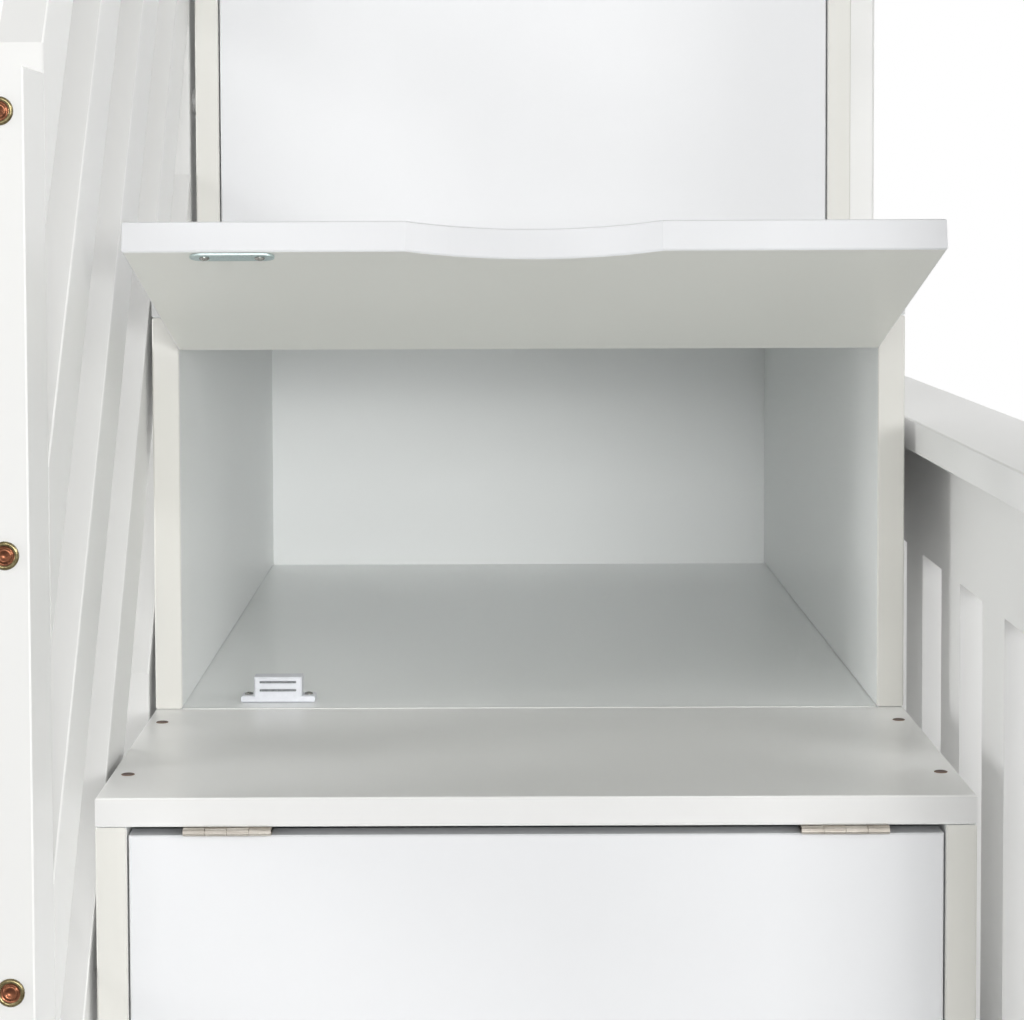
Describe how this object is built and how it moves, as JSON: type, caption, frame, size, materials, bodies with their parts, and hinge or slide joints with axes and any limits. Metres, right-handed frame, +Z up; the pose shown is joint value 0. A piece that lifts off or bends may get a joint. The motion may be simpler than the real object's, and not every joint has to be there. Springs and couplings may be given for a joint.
{
  "type": "bunk bed with slide",
  "caption": "White bunk bed with a slide and a storage staircase whose boxes close with top-hinged flap doors, a sloping rail balustrade, and slatted ends and guards.",
  "frame": {"origin": "on the floor, at the middle of the whole object's footprint", "axes": "+X along the bed from the staircase to its far end, +Y from the slide's foot to the wall, +Z up"},
  "size_m": [2.5104, 2.7908, 1.64],
  "materials": {
    "white_lacquer": "satin white lacquer on smooth board",
    "slide_lacquer": "smooth white lacquer, a little glossier than the frame",
    "hinge_steel": "nickel-plated steel",
    "zinc_plate": "zinc-plated steel",
    "catch_plastic": "smooth off-white plastic"
  },
  "bodies": {
    "bed": {"step_1_side_left": "white_lacquer", "step_1_side_right": "white_lacquer", "step_1_tread": "white_lacquer", "step_2_side_left": "white_lacquer", "step_2_side_right": "white_lacquer", "step_2_tread": "white_lacquer", "step_3_side_left": "white_lacquer", "step_3_side_right": "white_lacquer", "step_3_tread": "white_lacquer", "step_4_side_left": "white_lacquer", "step_4_side_right": "white_lacquer", "step_4_tread": "white_lacquer", "stair_back": "white_lacquer", "step_1_riser": "white_lacquer", "newel_front": "white_lacquer", "stair_rail_1": "white_lacquer", "stair_rail_2": "white_lacquer", "stair_rail_3": "white_lacquer", "stair_rail_4": "white_lacquer", "stair_rail_5": "white_lacquer", "landing_guard": "white_lacquer", "post_front_left": "white_lacquer", "post_rear_left": "white_lacquer", "lower_end_panel_left": "white_lacquer", "upper_end_guard_left": "white_lacquer", "post_front_right": "white_lacquer", "post_rear_right": "white_lacquer", "lower_end_panel_right": "white_lacquer", "upper_end_guard_right": "white_lacquer", "lower_side_rail_front": "white_lacquer", "lower_side_rail_rear": "white_lacquer", "lower_mattress_slats": "white_lacquer", "upper_side_rail_front": "white_lacquer", "upper_side_rail_rear": "white_lacquer", "upper_mattress_slats": "white_lacquer", "upper_guard_front": "white_lacquer", "upper_guard_rear": "white_lacquer", "slide": "slide_lacquer", "door_2_catch": "catch_plastic", "door_2_hinge_left_fixed_leaf": "hinge_steel", "door_2_hinge_right_fixed_leaf": "hinge_steel", "door_3_catch": "catch_plastic", "door_3_hinge_left_fixed_leaf": "hinge_steel", "door_3_hinge_right_fixed_leaf": "hinge_steel", "door_4_catch": "catch_plastic", "door_4_hinge_left_fixed_leaf": "hinge_steel", "door_4_hinge_right_fixed_leaf": "hinge_steel"},
    "door_2": {"door_2_panel": "white_lacquer", "door_2_strike_plate": "zinc_plate", "door_2_hinge_left_door_leaf": "hinge_steel", "door_2_hinge_right_door_leaf": "hinge_steel"},
    "door_3": {"door_3_panel": "white_lacquer", "door_3_strike_plate": "zinc_plate", "door_3_hinge_left_door_leaf": "hinge_steel", "door_3_hinge_right_door_leaf": "hinge_steel"},
    "door_4": {"door_4_panel": "white_lacquer", "door_4_strike_plate": "zinc_plate", "door_4_hinge_left_door_leaf": "hinge_steel", "door_4_hinge_right_door_leaf": "hinge_steel"}
  },
  "joints": [
    {"name": "door_2_hinge", "type": "hinge", "parent": "bed", "child": "door_2", "pos_m": [-1.00425, 0.48924, 0.4848], "axis": [-1, 0, 0], "range_deg": [0, 105.5]},
    {"name": "door_3_hinge", "type": "hinge", "parent": "bed", "child": "door_3", "pos_m": [-1.00425, 0.71724, 0.7358], "axis": [-1, 0, 0], "range_deg": [-105.5, 0]},
    {"name": "door_4_hinge", "type": "hinge", "parent": "bed", "child": "door_4", "pos_m": [-1.00425, 0.94524, 0.9868], "axis": [-1, 0, 0], "range_deg": [0, 105.5]}
  ]
}
